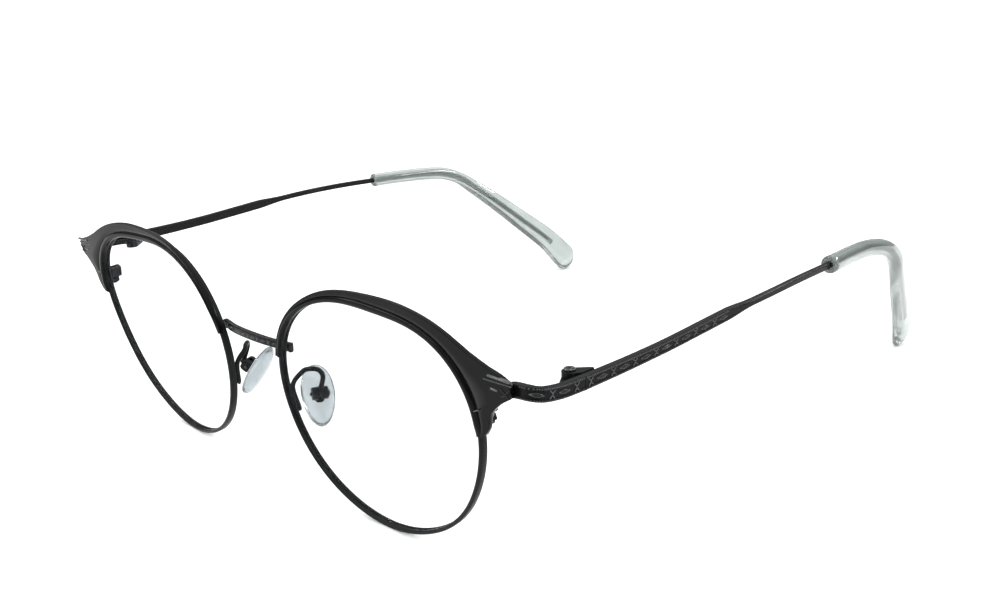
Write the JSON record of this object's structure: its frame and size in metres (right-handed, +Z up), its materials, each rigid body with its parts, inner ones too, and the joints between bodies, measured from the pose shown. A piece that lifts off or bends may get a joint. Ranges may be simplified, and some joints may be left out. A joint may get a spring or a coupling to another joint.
{
  "type": "round wire eyeglasses",
  "caption": "Wire spectacles with round rims, solid metal brow trims, folding engraved temples with clear bent tips, rocking nose pads and a slim arched bridge.",
  "frame": {"origin": "centre of the bounding box's base, on the surface the glasses stand on, temples open", "axes": "+X towards the wearer's left, +Y from the lenses back along the temples, +Z up; the glasses stand on the lower rims and the ends of the tips"},
  "size_m": [0.1424, 0.15, 0.0439],
  "materials": {
    "satin_charcoal_metal": "satin charcoal plating",
    "gloss_black_metal": "gloss black lacquer on metal",
    "engraved_black_metal": "black plated metal with engraved ornament, high spots polished",
    "blackened_screw_steel": "blackened steel screws and pad mounts",
    "clear_lens": "clear anti-reflection coated lens",
    "clear_pad_silicone": "clear soft silicone",
    "grey_green_translucent_tip": "translucent grey-green acetate over a core wire"
  },
  "bodies": {
    "front": {"bridge": "engraved_black_metal", "rim_left": "satin_charcoal_metal", "lens_left": "clear_lens", "brow_trim_left": "gloss_black_metal", "closing_block_upper_left": "satin_charcoal_metal", "closing_block_lower_left": "satin_charcoal_metal", "closing_screw_left": "blackened_screw_steel", "endpiece_left": "engraved_black_metal", "hinge_front_leaf_left": "satin_charcoal_metal", "hinge_screw_left": "blackened_screw_steel", "pad_arm_left": "satin_charcoal_metal", "pad_box_left": "satin_charcoal_metal", "pad_screw_left": "blackened_screw_steel", "rim_right": "satin_charcoal_metal", "lens_right": "clear_lens", "brow_trim_right": "gloss_black_metal", "closing_block_upper_right": "satin_charcoal_metal", "closing_block_lower_right": "satin_charcoal_metal", "closing_screw_right": "blackened_screw_steel", "endpiece_right": "engraved_black_metal", "hinge_front_leaf_right": "satin_charcoal_metal", "hinge_screw_right": "blackened_screw_steel", "pad_arm_right": "satin_charcoal_metal", "pad_box_right": "satin_charcoal_metal", "pad_screw_right": "blackened_screw_steel"},
    "temple_left": {"temple_arm_left": "engraved_black_metal", "temple_tip_left": "grey_green_translucent_tip", "hinge_temple_leaf_left": "satin_charcoal_metal"},
    "nose_rest_left": {"nose_pad_left": "clear_pad_silicone", "pad_mount_left": "blackened_screw_steel"},
    "temple_right": {"temple_arm_right": "engraved_black_metal", "temple_tip_right": "grey_green_translucent_tip", "hinge_temple_leaf_right": "satin_charcoal_metal"},
    "nose_rest_right": {"nose_pad_right": "clear_pad_silicone", "pad_mount_right": "blackened_screw_steel"}
  },
  "joints": [
    {"name": "temple_fold_left", "type": "hinge", "parent": "front", "child": "temple_left", "pos_m": [0.0679, -0.06103, 0.03377], "axis": [0, 0, 1], "range_deg": [0, 84]},
    {"name": "temple_fold_right", "type": "hinge", "parent": "front", "child": "temple_right", "pos_m": [-0.0679, -0.06103, 0.03377], "axis": [0, 0, 1], "range_deg": [-78, 0]},
    {"name": "pad_rock_left", "type": "hinge", "parent": "front", "child": "nose_rest_left", "pos_m": [0.0115, -0.06719, 0.01866], "axis": [0.4216, 0.906, -0.0364], "range_deg": [-8, 8]},
    {"name": "pad_rock_right", "type": "hinge", "parent": "front", "child": "nose_rest_right", "pos_m": [-0.0115, -0.06719, 0.01866], "axis": [-0.4216, 0.906, -0.0364], "range_deg": [-8, 8]}
  ]
}
